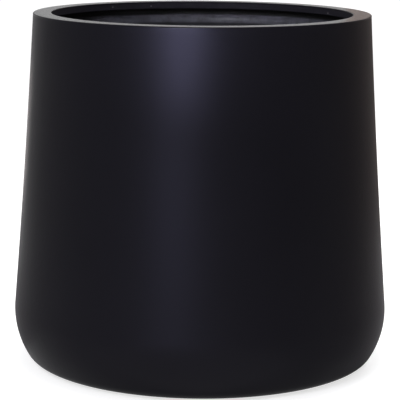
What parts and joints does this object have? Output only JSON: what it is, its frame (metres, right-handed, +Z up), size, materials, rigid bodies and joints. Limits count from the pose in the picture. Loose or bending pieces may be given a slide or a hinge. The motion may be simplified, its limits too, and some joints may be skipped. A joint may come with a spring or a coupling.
{
  "type": "floor planter",
  "caption": "Round matte black floor planter, narrower at the top, with a flaring side, a rounded belly and heel, an inward flat rim, a sealed floor and a pull-out drain plug.",
  "frame": {"origin": "on the floor, on the planter's axis, under the middle of its foot", "axes": "+Z up along the axis of the planter, -Y towards the side that the picture shows, +X to the right of it"},
  "size_m": [0.4399, 0.44, 0.41],
  "materials": {
    "black_paint": "matte black paint on fibre-reinforced resin",
    "raw_laminate": "rough hand-laid laminate, black pigment",
    "plug_rubber": "moulded black rubber",
    "pad_rubber": "dense black rubber"
  },
  "bodies": {
    "planter": {"wall_shell": "black_paint", "rim_ring": "black_paint", "base_pan": "raw_laminate", "base_cove": "raw_laminate", "foot_pad_1": "pad_rubber", "foot_pad_2": "pad_rubber", "foot_pad_3": "pad_rubber", "foot_pad_4": "pad_rubber"},
    "drain_plug": {"drain_plug": "plug_rubber"}
  },
  "joints": [
    {"name": "drain_plug_lift", "type": "slide", "parent": "planter", "child": "drain_plug", "axis": [0, 0, 1], "range_m": [0, 0.42]}
  ]
}
